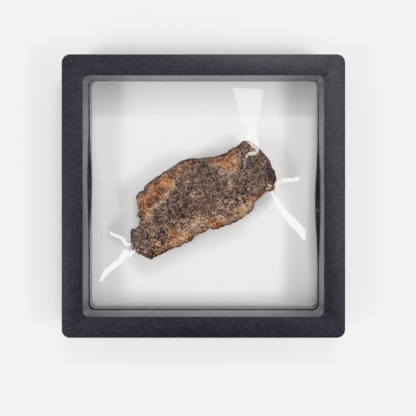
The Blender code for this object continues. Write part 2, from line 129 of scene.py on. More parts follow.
# Broad swellings and hollows as (x, y, reach, height)
FRONT_LUMPS_MM = [
    (-7.0, 3.5, 9.0, 0.40), (15.5, 7.5, 8.0, 0.35), (-19.0, -18.0, 6.5, 0.30),
    (-14.0, -7.0, 5.0, 0.25), (6.0, -5.0, 7.0, 0.22), (-1.0, -10.5, 4.5, -0.35),
    (5.5, 6.0, 4.5, -0.30), (23.0, 11.0, 4.0, -0.40), (-3.5, 8.8, 3.0, -0.40),
    (26.4, 10.8, 5.0, -1.60), (29.5, 7.0, 3.0, -0.60), (18.0, 20.0, 5.0, -1.20),
    (28.0, 3.0, 3.0, -0.35), (-28.5, -18.0, 3.0, -0.30),
]
BACK_LUMPS_MM = [
    (-16.0, -2.0, 8.0, 0.35), (2.0, 4.0, 9.0, 0.30), (19.0, 9.0, 6.0, 0.35),
    (-4.0, -9.0, 5.0, 0.30), (-9.0, 8.0, 5.0, -0.45), (12.0, -3.0, 5.0, -0.40),
]

# Ledges and cracks as (width, depth, path)
FRONT_GROOVES_MM = [
    (0.8, 0.55, [(-6.4, 11.8), (-3.6, 12.8), (-0.4, 12.6), (1.6, 11.4), (2.6, 9.6)]),
    (0.7, 0.35, [(-5.0, 9.0), (-2.8, 8.6), (0.6, 8.0)]),
    (0.6, 0.30, [(-2.6, -5.6), (-0.4, -6.8), (1.6, -8.2)]),
    (0.7, 0.35, [(11.8, 6.6), (12.4, 3.8), (13.8, 2.0)]),
]
BACK_GROOVES_MM = [
    (0.8, 0.45, [(-22.0, 1.0), (-14.0, 5.0), (-6.0, 4.4)]),
    (0.7, 0.40, [(4.0, -8.0), (9.0, -2.0), (10.6, 4.0)]),
]

# Small pits as (x, y, reach, depth)
FRONT_PITS_MM = [
    (-22.3, -11.0, 0.8, 0.7), (-22.6, -14.6, 0.9, 0.5), (-15.6, 0.2, 0.7, 0.5),
    (-18.0, -7.4, 0.8, 0.4), (16.2, 12.6, 0.8, 0.5), (-1.6, -9.0, 0.7, 0.4),
    (20.6, 3.4, 0.8, 0.4),
]
BACK_PITS_MM = [
    (-20.0, -9.0, 1.2, 0.7), (-2.0, 10.0, 1.0, 0.6), (14.0, 15.0, 1.3, 0.7), (8.0, 1.0, 1.0, 0.5),
]

FRONT_SIDE = {
    "facing": 1, "seed": 11.0, "recesses": FRONT_RECESSES_MM, "lumps": FRONT_LUMPS_MM,
    "grooves": FRONT_GROOVES_MM, "pits": FRONT_PITS_MM,
}
BACK_SIDE = {
    "facing": -1, "seed": 37.0, "recesses": BACK_RECESSES_MM, "lumps": BACK_LUMPS_MM,
    "grooves": BACK_GROOVES_MM, "pits": BACK_PITS_MM,
}

# Tones of the front beside the flaked places, each as (attribute, strength, softness, path)
FRONT_TONES_MM = [
    ("rust", 1.0, 0.7, [(-26.6, -0.4), (-24.9, 1.9), (-21.8, 4.8), (-17.9, 7.4), (-13.6, 9.4),
                        (-12.7, 5.7), (-13.2, 2.9), (-14.6, 1.2), (-16.8, -0.4), (-19.0, -2.6),
                        (-21.2, -4.8), (-22.3, -7.1), (-24.6, -9.3), (-26.2, -7.1)]),
    ("rust", 0.55, 1.0, [(-14.0, 11.4), (-8.6, 14.2), (-4.4, 14.8), (0.0, 14.8), (-1.6, 12.4),
                         (-6.0, 11.6), (-8.6, 8.6), (-12.0, 7.2)]),
    ("rust", 0.95, 0.7, [(0.4, 14.6), (4.2, 15.6), (9.2, 17.4), (12.2, 18.4), (11.7, 15.6),
                         (12.8, 12.9), (12.0, 10.6), (9.2, 9.5), (5.9, 11.2), (3.1, 12.9)]),
    ("rust", 0.95, 0.5, [(-13.8, -13.6), (-11.3, -13.2), (-10.4, -16.5), (-10.9, -19.8),
                         (-13.5, -18.4)]),
    ("rust", 0.8, 0.8, [(-8.4, -15.6), (-5.4, -15.2), (-4.4, -17.8), (-8.0, -19.8)]),
    ("rust", 0.95, 0.5, [(2.0, -10.6), (4.8, -9.4), (6.7, -10.4), (8.3, -12.0), (4.8, -13.9),
                         (2.0, -13.6)]),
    ("rust", 0.7, 0.7, [(18.2, -1.8), (21.4, 0.3), (25.2, 1.7), (25.0, 0.0), (21.9, -1.9),
                        (19.6, -4.0)]),
    ("rust", 0.3, 1.6, [(-19.0, -18.0), (-12.0, -17.0), (-9.0, -21.0), (-18.0, -24.6),
                        (-22.0, -24.6)]),
    ("ochre", 0.55, 1.2, [(11.0, -6.6), (14.2, -3.6), (19.2, -3.0), (19.9, -5.6), (16.4, -9.0),
                          (12.2, -10.4)]),
    ("ochre", 0.5, 0.9, [(-10.8, 12.6), (-6.0, 12.8), (-5.6, 10.6), (-8.4, 7.9), (-11.6, 8.6)]),
    ("ochre", 0.8, 0.6, [(-10.6, -16.6), (-8.2, -16.8), (-7.4, -19.6), (-10.4, -20.9)]),
    ("ochre", 0.3, 1.6, [(21.0, 5.6), (28.4, 4.6), (27.6, 2.2), (23.6, 0.6), (20.0, 2.6)]),
    ("ochre", 0.22, 2.4, [(-4.0, -8.6), (3.6, -5.4), (11.0, -3.6), (12.0, -10.0), (3.0, -12.6),
                          (-4.0, -15.6), (-8.0, -12.0)]),
    ("pale", 0.9, 1.4, [(-27.0, -12.4), (-24.0, -12.8), (-21.6, -9.6), (-18.0, -5.4), (-13.4, -1.2),
                        (-11.4, 3.6), (-11.6, 7.6), (-13.2, 6.4), (-14.6, 1.6), (-20.6, -4.6),
                        (-24.0, -9.0)]),
    ("pale", 0.9, 1.6, [(10.6, -10.6), (12.0, -6.6), (14.6, -3.4), (19.4, -1.6), (22.4, 0.6),
                        (26.4, 2.2), (24.4, -0.4), (20.0, -4.6), (17.0, -8.4)]),
    ("pale", 0.8, 1.6, [(-9.0, -13.4), (-4.0, -8.4), (2.6, -7.6), (8.6, -8.6), (8.8, -12.0),
                        (0.0, -14.6), (-6.0, -18.6), (-10.0, -21.0), (-13.6, -21.0), (-13.4, -13.8)]),
    ("pale", 0.6, 1.4, [(3.4, 11.6), (4.0, 15.4), (12.4, 18.6), (13.6, 13.0), (12.6, 8.6), (9.4, 6.4)]),
    ("pale", 0.45, 2.0, [(4.0, -1.6), (9.0, -0.6), (12.6, -3.0), (10.0, -7.0), (4.6, -6.4)]),
    ("pale", 0.35, 2.0, [(-26.0, -17.0), (-19.0, -16.4), (-17.0, -20.0), (-21.0, -23.6), (-26.4, -21.6)]),
    ("mauve", 0.8, 1.2, [(-3.2, -2.0), (1.0, -0.4), (4.8, -1.8), (4.6, -5.6), (1.0, -7.4),
                         (-2.8, -5.6)]),
    ("dark", 0.5, 1.4, [(-20.4, -6.0), (-15.4, -1.4), (-11.6, 2.4), (-7.6, 3.0), (-5.4, -1.0),
                        (-8.4, -8.0), (-14.4, -11.6), (-20.0, -10.8)]),
    ("dark", 0.45, 1.6, [(-10.4, 4.0), (-9.0, 9.4), (-4.0, 11.4), (2.2, 9.4), (2.4, 4.0), (-4.0, 1.6)]),
    ("dark", 0.4, 1.8, [(13.4, 8.0), (14.6, 13.6), (20.0, 17.4), (25.4, 13.0), (25.6, 6.0), (18.0, 3.6)]),
    ("dark", 0.35, 1.6, [(1.0, 10.4), (8.4, 9.2), (9.6, 5.4), (6.0, 1.2), (0.0, 1.8), (-3.0, 5.6)]),
    ("dark", 0.55, 1.2, [(11.4, 5.4), (17.0, 6.6), (20.4, 4.0), (15.6, 1.0), (11.6, 1.6)]),
    ("dark", 0.9, 0.9, [(24.2, 8.4), (25.6, 13.8), (28.0, 11.4), (29.6, 7.0), (28.6, 3.4),
                        (25.2, 5.6)]),
    ("dark", 0.35, 1.6, [(-29.4, -13.6), (-24.0, -14.0), (-19.4, -17.4), (-19.0, -24.0),
                         (-24.0, -25.6), (-29.4, -21.6)]),
]

# Pale veins and bands of the front, and dark lines painted along its ledges and cracks, each as (attribute,
# strength, width, path)
FRONT_VEINS_MM = [
    ("ochre", 0.85, 0.8, [(12.8, 14.6), (12.9, 12.3), (11.7, 9.6), (9.8, 7.3), (10.6, 4.6), (9.2, 1.8)]),
    ("ochre", 0.85, 0.8, [(-12.1, 6.8), (-11.9, 3.0), (-15.2, 0.1), (-19.0, -3.7), (-21.8, -6.5),
                          (-22.8, -9.3)]),
    ("ochre", 0.8, 0.8, [(-12.9, -12.5), (-9.6, -13.3), (-6.9, -15.0), (-8.4, -17.4)]),
    ("ochre", 0.7, 0.5, [(-1.4, -10.8), (2.0, -9.8), (5.9, -8.2)]),
    ("ochre", 0.6, 0.6, [(-5.2, 10.4), (-2.4, 9.6), (0.6, 8.3)]),
    ("dark", 0.9, 0.45, [(-5.6, 12.0), (-2.4, 13.2), (0.6, 12.4), (2.2, 10.4), (2.8, 8.6)]),
    ("dark", 0.7, 0.35, [(-3.0, 11.4), (-0.6, 10.8), (1.6, 8.8)]),
    ("dark", 0.6, 0.35, [(-2.8, -4.6), (0.4, -6.6), (2.2, -8.0)]),
]

# The slab's thickness and roughness
HALF_THICKNESS = 4.2 * MM
LEAN = (0.04, -0.07)
RIM_SHARE = 0.55
RIM_INSET = 0.3 * MM
CHIP_SCALE = 3.4 * MM
CHIP_INSET = 1.6 * MM
EDGE_ROLL = 2.4 * MM
RECESS_STEP = 0.5 * MM
SWELLS_MM = [(7.0, 0.35), (2.6, 0.25)]
CRAGS_MM = [(4.2, 0.55), (1.9, 0.45)]

# The chipped rim, drawn in towards a centre line, and the fine grain as (scale, height)
CENTRE_LINE_MM = [(-20.0, -14.0), (0.0, 0.0), (20.0, 10.0)]
CHIP_REACH = 2.0 * MM
CHIP_SEED = 20.0
RAGGED_REACH = 0.8 * MM
RAGGED_EXTRA = 1.2
GRAINS_MM = [(1.6, 0.20), (0.8, 0.18), (0.5, 0.14)]
GRAIN_SEED = 3.0

# How the borders of the tones wander, as (scale, reach, seed)
WANDERS_MM = [(1.8, 0.9, 21.0), (0.7, 0.7, 27.0)]
VEIN_WANDER = 0.7

# Rust and its ochre border in the flaked places of the back
BACK_RUST_SOFTNESS = 0.5 * MM
BACK_OCHRE_STRENGTH = 0.8
BACK_OCHRE_INSET = 0.2 * MM
BACK_OCHRE_WIDTH = 0.45 * MM

# Noise that breaks the ochre up
BREAK_LEVEL = 0.65
BREAK_DEPTH = 0.9
BREAK_SCALE = 0.8 * MM
BREAK_SEED = 43.0

# Where the slab is painted black, in its darkest crust and in a thin band along its outline, and how rough
# each part is: the right tip is the smoothest
DARK_RIM_START = 0.1 * MM
DARK_RIM_WIDTH = 0.55 * MM
BLACK_IN_DARK = 0.8
BLACK_ON_RIM = 0.6
GLOSSY_TIP_X = 23.8 * MM
GLOSSY_TIP_WIDTH = 1.6 * MM
CRUST_ROUGHNESS = 0.6
RUST_ROUGHER = 0.15
TIP_SMOOTHER = 0.35


def linear_rgb(hex_colour):
    """Linear red, green and blue of an sRGB hex colour."""
    found = []
    for start in (1, 3, 5):
        value = int(hex_colour[start:start + 2], 16) / 255
        found.append(value / 12.92 if value <= 0.04045 else ((value + 0.055) / 1.055) ** 2.4)
    return tuple(found)


def rgba(colour):
    """A colour as the four numbers a colour socket takes."""
    return (*colour, 1.0)


class FrameHalfSettings(bpy.types.PropertyGroup):
    bar_width: FloatProperty(
        name="Bar Width", description="Width of the face round the window",
        default=8.2 * MM, min=2 * MM, unit="LENGTH")
    wall: FloatProperty(
        name="Wall", description="Thickness of the moulded walls", default=1.5 * MM, unit="LENGTH")
    draft: FloatProperty(
        name="Draft", description="How far the inner wall leans in from the face to its foot",
        default=0.7 * MM, unit="LENGTH")
    corner_radius: FloatProperty(
        name="Corner Radius", description="Radius of the outer corners",
        default=CORNER_RADIUS, unit="LENGTH")
    window_radius: FloatProperty(
        name="Window Radius", description="Radius of the window's corners",
        default=2.5 * MM, unit="LENGTH")
    edge_round: FloatProperty(
        name="Edge Round", description="Radius on the moulded edges",
        default=0.4 * MM, unit="LENGTH")
    tongue: FloatProperty(
        name="Tongue", description="Depth of the tongue that joins the halves",
        default=1.2 * MM, unit="LENGTH")
    plastic_colour: FloatVectorProperty(
        name="Plastic Colour", description="Black moulded plastic", subtype="COLOR",
        default=linear_rgb("#15141C"), min=0, max=1)
    # The polished walls' lighter grey is painted sheen: the plastic itself is as black as the face.
    polished_sheen_colour: FloatVectorProperty(
        name="Polished Colour", description="The same plastic where the mould was polished",
        subtype="COLOR", default=linear_rgb("#56565C"), min=0, max=1)
    spark_size: FloatProperty(
        name="Spark Size", description="Grain of the spark-eroded mould texture",
        default=0.6 * MM, unit="LENGTH")


class FilmSettings(bpy.types.PropertyGroup):
    thickness: FloatProperty(
        name="Thickness", description="Thickness of each film", default=0.1 * MM, unit="LENGTH")
    cells: IntProperty(
        name="Cells", description="Grid cells across a film", default=190, min=20, max=220)
    ring_reveal: FloatProperty(
        name="Ring Reveal", description="How far the ring shows inside the wall's foot",
        default=0.15 * MM, unit="LENGTH")
    air_lift: FloatProperty(
        name="Air Lift", description="Curvature that the shut-in air gives the film, per metre",
        default=4.0, min=0)
    air_lean: FloatVectorProperty(
        name="Air Lean", description="How the air's lift changes from the middle to the ring",
        size=2, default=(-3.0, -12.5))
    film_tint: FloatVectorProperty(
        name="Film Tint", description="Colour of light passed by the film", subtype="COLOR",
        default=linear_rgb("#FFFFFF"), min=0, max=1)


class StoneSettings(bpy.types.PropertyGroup):
    voxel: FloatProperty(
        name="Voxel", description="Size of the slab's mesh cells", default=0.23 * MM, unit="LENGTH")


class StageSettings(bpy.types.PropertyGroup):
    paper_colour: FloatVectorProperty(
        name="Paper Colour", description="White paper under the frame", subtype="COLOR",
        default=linear_rgb("#EFEDEC"), min=0, max=1)
    panel_power: FloatProperty(
        name="Panel Power", description="Power of each soft light", default=0.84, unit="POWER")
    sky_level: FloatProperty(
        name="Sky Level", description="Brightness of the even light all round", default=0.92)
    dim_share: FloatProperty(
        name="Dim Share", description="How much of that light is left where the viewer stands",
        default=0.15)
    near_share: FloatProperty(
        name="Near Share", description="Brightness of the light beyond the lower edge", default=1.5)


def settings():
    """The scene's settings, by group."""
    scene = bpy.context.scene
    return scene.meteor_frame, scene.meteor_film, scene.meteor_stone, scene.meteor_stage


def add_node(tree, kind, links=(), **values):
    """Add a shader node, set its properties and inputs by name, and link (output, input) pairs."""
    node = tree.nodes.new(kind)
    for name, value in values.items():
        if hasattr(node, name):
            setattr(node, name, value)
        else:
            node.inputs[name.replace("_", " ")].default_value = value
    for output, name in links:
        tree.links.new(output, node.inputs[name])
    return node


def new_material(name, **values):
    """A material with one Principled shader, its plain values set on its own sockets."""
    made = bpy.data.materials.new(name)
    made.use_nodes = True
    shader = made.node_tree.nodes["Principled BSDF"]
    for key, value in values.items():
        shader.inputs[key.replace("_", " ")].default_value = value
    return made, made.node_tree, shader


def colour_ramp(tree, source, stops):
    """A ramp from hex colours, fed by a value."""
    ramp = add_node(tree, "ShaderNodeValToRGB", [(source, "Fac")])
    marks = ramp.color_ramp.elements
    while len(marks) < len(stops):
        marks.new(0.5)
    for mark, (place, colour) in zip(marks, stops):
        mark.position = place
        mark.color = rgba(linear_rgb(colour))
    return ramp


def object_coords(tree):
    """Object coordinates, which are metres in the frame's own place."""
    return add_node(tree, "ShaderNodeTexCoord").outputs["Object"]


def textured_plastic():
    """Injection moulded ABS with a spark-eroded face: matte, with a fine pebbly grain whose facet glints
    are painted into its colour as light specks.
    """
    group = settings()[0]
    made, tree, shader = new_material("textured_black_abs", Roughness=0.45, IOR=1.75)
    coords = object_coords(tree)
    # The real grain is too fine to show, so it is drawn as coarse as it needs to show
    scale = 1 / group.spark_size
    grain = add_node(tree, "ShaderNodeTexNoise", [(coords, "Vector")], Scale=scale, Detail=3.0)
    # Painted glints: the grain lifts the base colour several times at its peaks, standing in for light
    # glinting off its facets.
    tone = add_node(tree, "ShaderNodeMapRange", [(grain.outputs["Fac"], "Value")],
                    From_Min=0.40, From_Max=0.72, To_Min=0.4, To_Max=4.6)
    colour = add_node(tree, "ShaderNodeVectorMath", [(tone.outputs["Result"], 1)],
                      operation="MULTIPLY")
    colour.inputs[0].default_value = group.plastic_colour
    tree.links.new(colour.outputs["Vector"], shader.inputs["Base Color"])
    bump = add_node(tree, "ShaderNodeBump", [(grain.outputs["Fac"], "Height")],
                    Strength=0.6, Distance=0.06 * MM)
    tree.links.new(bump.outputs["Normal"], shader.inputs["Normal"])
    return made


def smooth_plastic():
    """The same ABS where the mould was polished: a satin gloss with faint unevenness, its base colour
    painted a lighter grey as sheen on top of its real gloss.
    """
    group = settings()[0]
    made, tree, shader = new_material("polished_black_abs", Roughness=0.3, IOR=1.6,
                                      Coat_Weight=0.6, Coat_Roughness=0.15)
    # Painted sheen: a lighter grey base colour where the real plastic is black.
    shader.inputs["Base Color"].default_value = rgba(group.polished_sheen_colour)
    coords = object_coords(tree)
    waves = add_node(tree, "ShaderNodeTexNoise", [(coords, "Vector")], Scale=1 / (4 * MM), Detail=2.0)
    bump = add_node(tree, "ShaderNodeBump", [(waves.outputs["Fac"], "Height")],
                    Strength=0.3, Distance=0.08 * MM)
    tree.links.new(bump.outputs["Normal"], shader.inputs["Normal"])
    return made


def ring_plastic():
    """Die-cut black polystyrene ring, smooth and glossy, with a few smears of glue; its greys are painted
    sheen, and it is painted lighter towards the top.
    """
    made, tree, shader = new_material("black_ring_polystyrene", Roughness=0.3, IOR=1.55)
    coords = object_coords(tree)
    smears = add_node(tree, "ShaderNodeTexNoise", [(coords, "Vector")], Scale=1 / (2.5 * MM))
    axes = add_node(tree, "ShaderNodeSeparateXYZ", [(coords, 0)])
    # Painted light: the ring's colour is lighter towards its top edge.
    painted_top_light = add_node(tree, "ShaderNodeMapRange", [(axes.outputs["Y"], "Value")],
                   From_Min=HALF_SIDE * 0.6, From_Max=HALF_SIDE * 0.8, To_Min=0.0, To_Max=0.4)
    smears_and_painted_light = add_node(tree, "ShaderNodeMath", [(smears.outputs["Fac"], 0), (painted_top_light.outputs["Result"], 1)],
                     operation="ADD")
    # These greys are far lighter than black polystyrene and paint the ring's sheen.
    ramp = colour_ramp(tree, smears_and_painted_light.outputs[0], [(0.45, "#36363A"), (0.7, "#505056"), (0.9, "#8A8A90")])
    tree.links.new(ramp.outputs["Color"], shader.inputs["Base Color"])
    return made


def clear_film_material():
    """Stretched thermoplastic polyurethane film: clear and glossy, so it shows by its reflections."""
    group = settings()[1]
    made, _, shader = new_material(
        "clear_polyurethane_film", Roughness=0.0, IOR=1.4, Transmission_Weight=1.0)
    shader.inputs["Base Color"].default_value = rgba(group.film_tint)
    return made


def meteorite_material():
    """Weathered nickel-iron: dull magnetite crust, orange rust where it flaked, ochre along the edges."""
    made, tree, shader = new_material("weathered_nickel_iron", IOR=1.6)
    coords = object_coords(tree)

    def mix(share, first, second, mode="MIX"):
        node = add_node(tree, "ShaderNodeMix", data_type="RGBA", blend_type=mode)
        if isinstance(share, float):
            node.inputs["Factor"].default_value = share
        else:
            tree.links.new(share, node.inputs["Factor"])
        for name, value in (("A", first), ("B", second)):
            socket = [s for s in node.inputs if s.name == name and s.type == "RGBA"][0]
            if isinstance(value, bpy.types.NodeSocket):
                tree.links.new(value, socket)
            else:
                socket.default_value = rgba(value)
        return [s for s in node.outputs if s.type == "RGBA"][0]

    def attribute(name):
        return add_node(tree, "ShaderNodeAttribute", attribute_name=name).outputs["Fac"]

    def scaled(source, share, onto, middle=0.0):
        node = add_node(tree, "ShaderNodeMath", [(source, 0)], operation="MULTIPLY_ADD")
        node.inputs[1].default_value = share
        if isinstance(onto, float):
            node.inputs[2].default_value = onto - share * middle
            return node.outputs[0]
        shifted = add_node(tree, "ShaderNodeMath", [(onto, 0)], operation="SUBTRACT")
        shifted.inputs[1].default_value = share * middle
        tree.links.new(shifted.outputs[0], node.inputs[2])
        return node.outputs[0]

    # The finest worm marks are too fine to show, so both fine patterns are drawn as coarse as they need
    worms = add_node(tree, "ShaderNodeTexNoise", [(coords, "Vector")], Scale=1 / (0.6 * MM), Detail=2.0,
                     Roughness=0.8, Distortion=1.8)
    mottle = add_node(tree, "ShaderNodeTexNoise", [(coords, "Vector")], Scale=1 / (3.2 * MM), Detail=4.0,
                      Roughness=0.6)
    ridges = add_node(tree, "ShaderNodeTexNoise", [(coords, "Vector")], Scale=1 / (0.75 * MM), Detail=1.0,
                      Distortion=1.0)
    centred = add_node(tree, "ShaderNodeMath", [(ridges.outputs["Fac"], 0)], operation="SUBTRACT")
    centred.inputs[1].default_value = 0.5
    folded = add_node(tree, "ShaderNodeMath", [(centred.outputs[0], 0)], operation="ABSOLUTE")
    crest = add_node(tree, "ShaderNodeMapRange", [(folded.outputs[0], "Value")],
                     interpolation_type="SMOOTHSTEP", From_Max=0.10, To_Min=1.0, To_Max=0.0)
    blend = 0.485
    for source, share, middle in ((crest.outputs["Result"], 0.55, 0.5), (worms.outputs["Fac"], 1.9, 0.5),
                                  (mottle.outputs["Fac"], 0.7, 0.5)):
        blend = scaled(source, share, blend, middle)
    relief = blend
    blend = scaled(attribute("pale"), 0.21, blend)
    blend = scaled(attribute("dark"), -0.13, blend)
    crust = colour_ramp(tree, blend, [
        (0.32, "#170E0E"), (0.43, "#3C2624"), (0.54, "#744C46"), (0.65, "#C88A70"), (0.78, "#FFDFC2")])
    rust_tone = scaled(mottle.outputs["Fac"], 0.9, blend, 0.5)
    rust = colour_ramp(tree, rust_tone, [
        (0.22, "#34160B"), (0.38, "#7E3C1E"), (0.52, "#AE5A32"), (0.66, "#CF8450"), (0.82, "#F2C292")])
    ochre = colour_ramp(tree, blend, [
        (0.30, "#55321E"), (0.44, "#B67E50"), (0.56, "#E4AC78"), (0.72, "#FFDDAE")])
    mauve = colour_ramp(tree, blend, [
        (0.30, "#301E1C"), (0.48, "#704C48"), (0.66, "#B08070")])
    colour = mix(attribute("mauve"), crust.outputs["Color"], mauve.outputs["Color"])
    colour = mix(attribute("rust"), colour, rust.outputs["Color"])
    colour = mix(attribute("ochre"), colour, ochre.outputs["Color"])
    colour = mix(attribute("black"), colour, linear_rgb("#1A1412"))
    tree.links.new(colour, shader.inputs["Base Color"])
    tree.links.new(attribute("gloss_roughness"), shader.inputs["Roughness"])
    bump = add_node(tree, "ShaderNodeBump", [(relief, "Height")], Strength=1.0, Distance=0.35 * MM)
    tree.links.new(bump.outputs["Normal"], shader.inputs["Normal"])
    return made


def paper_material():
    """Uncoated white paper under the frame: matte, with a faint tooth."""
    group = settings()[3]
    made, tree, shader = new_material("white_paper", Roughness=0.9, IOR=1.4)
    coords = object_coords(tree)
    tooth = add_node(tree, "ShaderNodeTexNoise", [(coords, "Vector")], Scale=1 / (1.5 * MM), Detail=3.0)
    tone = add_node(tree, "ShaderNodeMapRange", [(tooth.outputs["Fac"], "Value")],
                    To_Min=0.97, To_Max=1.0)
    colour = add_node(tree, "ShaderNodeVectorMath", [(tone.outputs["Result"], 1)],
                      operation="MULTIPLY")
    colour.inputs[0].default_value = group.paper_colour
    tree.links.new(colour.outputs["Vector"], shader.inputs["Base Color"])
    return made


def deselect():
    """Leave nothing selected, so that an operator acts on its own object alone."""
    if bpy.context.object and bpy.context.object.mode != "OBJECT":
        bpy.ops.object.mode_set(mode="OBJECT")
    bpy.ops.object.select_all(action="DESELECT")


def make_active(thing):
    """Select one object alone."""
    deselect()
    thing.select_set(True)
    bpy.context.view_layer.objects.active = thing


def settle(thing):
    """Put an object's place, turn and size into its mesh."""
    make_active(thing)
    bpy.ops.object.transform_apply(location=True, rotation=True, scale=True)


def apply_modifier(thing, name):
    """Apply one modifier by its name."""
    make_active(thing)
    bpy.ops.object.modifier_apply(modifier=name)


def select_edges(thing, wanted):
    """In edit mode, select the edges whose two ends pass a test."""
    bpy.ops.object.mode_set(mode="EDIT")
    bpy.ops.mesh.select_mode(type="EDGE")
    bpy.ops.mesh.select_all(action="DESELECT")
    bpy.ops.object.mode_set(mode="OBJECT")
    verts = thing.data.vertices
    for edge in thing.data.edges:
        edge.select = wanted(verts[edge.vertices[0]].co, verts[edge.vertices[1]].co)
    bpy.ops.object.mode_set(mode="EDIT")


def add_block(name, half, low, high, radius, steps=12, lean=0.0):
    """A square block with rounded upright edges, its upper end wider by lean on each side."""
    deselect()
    bpy.ops.mesh.primitive_cube_add(size=1, location=(0, 0, (low + high) / 2))
    block = bpy.context.object
    block.name = name
    block.scale = (2 * half, 2 * half, high - low)
    settle(block)
    select_edges(block, lambda a, b: abs(a.z - b.z) > (high - low) / 2)
    bpy.ops.mesh.bevel(offset=radius, segments=steps, affect="EDGES")
    bpy.ops.object.mode_set(mode="OBJECT")
    middle = (low + high) / 2
    for vertex in block.data.vertices:
        if vertex.co.z > middle:
            vertex.co.x *= 1 + lean / half
            vertex.co.y *= 1 + lean / half
    return block


def cut(body, tool, operation="DIFFERENCE"):
    """Cut one object with another by an exact boolean, and delete the tool."""
    boolean = body.modifiers.new("cut", "BOOLEAN")
    boolean.operation = operation
    boolean.object = tool
    boolean.solver = "EXACT"
    apply_modifier(body, "cut")
    bpy.data.objects.remove(tool, do_unlink=True)


def mirrored_down(thing):
    """Mirror a front piece through the middle plane, its faces kept pointing out."""
    for vertex in thing.data.vertices:
        vertex.co.z = 2 * MID_PLANE - vertex.co.z
    make_active(thing)
    bpy.ops.object.mode_set(mode="EDIT")
    bpy.ops.mesh.select_all(action="SELECT")
    bpy.ops.mesh.flip_normals()
    bpy.ops.object.mode_set(mode="OBJECT")


def shade(thing, angle_deg):
    """Smooth shading with creases at the real edges."""
    make_active(thing)
    bpy.ops.object.shade_smooth_by_angle(angle=math.radians(angle_deg))


def half_shape(name, has_tongue):
    """One half of the frame in the front half's place: a channel open at the parting plane."""
    group = settings()[0]
    beyond = CUT_BEYOND
    lap = TONGUE_LAP
    gap = 2 * (MID_PLANE - PARTING)
    parting = MID_PLANE + gap / 2
    foot = RING_HIGH.z + gap
    low = parting - group.tongue if has_tongue else parting
    window = HALF_SIDE - group.bar_width
    rise = FRAME_TOP - foot
    slope = group.draft / rise
    body = add_block(name, HALF_SIDE, low, FRAME_TOP, group.corner_radius, steps=14)
    lean = slope * (rise + 2 * beyond) / 2
    wall_half = window - group.draft - slope * beyond
    opening = add_block("window_cutter", wall_half, foot - beyond, FRAME_TOP + beyond,
                        group.window_radius, steps=10, lean=2 * lean)
    cut(body, opening)
    hollow = add_block("hollow_cutter", HALF_SIDE - group.wall, low - beyond, FRAME_TOP - group.wall,
                       group.corner_radius - group.wall, steps=10)
    core_half = wall_half + group.wall
    core = add_block("core_cutter", core_half, foot - beyond, FRAME_TOP + beyond,
                     group.window_radius + group.wall, steps=10, lean=2 * lean)
    cut(hollow, core)
    cut(body, hollow)
    skirt = add_block("skirt_cutter", HALF_SIDE - group.wall, low - beyond, foot,
                      group.corner_radius - group.wall, steps=10)
    cut(body, skirt)
    if has_tongue:
        rim = add_block("rim_cutter", HALF_SIDE + beyond, low - beyond, parting,
                        group.corner_radius, steps=4)
        keep = add_block("keep_cutter", HALF_SIDE - lap, low - 2 * beyond, parting + beyond,
                         group.corner_radius - lap, steps=10)
        cut(rim, keep)
    else:
        rim = add_block("rim_cutter", HALF_SIDE - lap + gap, low - beyond, parting + group.tongue,
                        group.corner_radius - lap + gap, steps=10)
    cut(body, rim)
    return body


def finish_half(body, group):
    """Round a half's visible edges and give its faces and walls their two finishes, the walls' one painted
    lighter as sheen.
    """
    body.data.materials.append(textured_plastic())
    body.data.materials.append(smooth_plastic())
    rounding = body.modifiers.new("edge_round", "BEVEL")
    rounding.width = group.edge_round
    rounding.segments = EDGE_STEPS
    rounding.limit_method = "WEIGHT"
    weights = body.data.attributes.new("bevel_weight_edge", "FLOAT", "EDGE")
    verts = body.data.vertices
    window = HALF_SIDE - group.bar_width
    for edge in body.data.edges:
        first, second = (verts[index].co for index in edge.vertices)
        level = max(abs(first.z - FRAME_TOP), abs(second.z - FRAME_TOP)) < LEVEL_SLACK
        reach = max(abs(first.x), abs(first.y), abs(second.x), abs(second.y))
        if level:
            outer = reach > HALF_SIDE - OUTER_BAND and is_outer(first) and is_outer(second)
            weights.data[edge.index].value = 1.0 if outer else INNER_EDGE_SHARE
    apply_modifier(body, "edge_round")
    # The inner walls take the polished finish, whose lighter grey is painted sheen.
    for face in body.data.polygons:
        reach = max(abs(face.center.x), abs(face.center.y))
        inner_wall = reach < window + WALL_SLACK and abs(face.normal.z) < WALL_UPRIGHT
        face.material_index = 1 if inner_wall else 0


def is_outer(place):
    """True on the outer side of the frame, its round corners included."""
    straight = HALF_SIDE - CORNER_RADIUS
    round_part = math.hypot(max(abs(place.x) - straight, 0), max(abs(place.y) - straight, 0))
    return round_part > CORNER_RADIUS - CORNER_SLACK


class METEOR_OT_frame_halves(bpy.types.Operator):
    """Model the two moulded halves of the black frame"""
    bl_idname = "meteor.frame_halves"
    bl_label = "Frame Halves"

    def execute(self, context):
        group = settings()[0]
        for name, has_tongue in (("front_frame", True), ("back_frame", False)):
            body = half_shape(name + "_moulded", has_tongue)
            finish_half(body, group)
            if not has_tongue:
                mirrored_down(body)
            shade(body, CREASE_DEG)
            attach(body, ROOT)
            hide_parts(name)
        return {"FINISHED"}


# How the ring's left and right sides are pulled in by the film: depth, centre, reach
RING_BOWS_MM = {-1: (0.8, 5.0, 24.0), 1: (1.1, -3.0, 27.0)}
RING_CORNER_RADIUS = 1.6 * MM
RING_SIDE_CUTS = 40
RING_SIDE_SLACK = 0.1 * MM


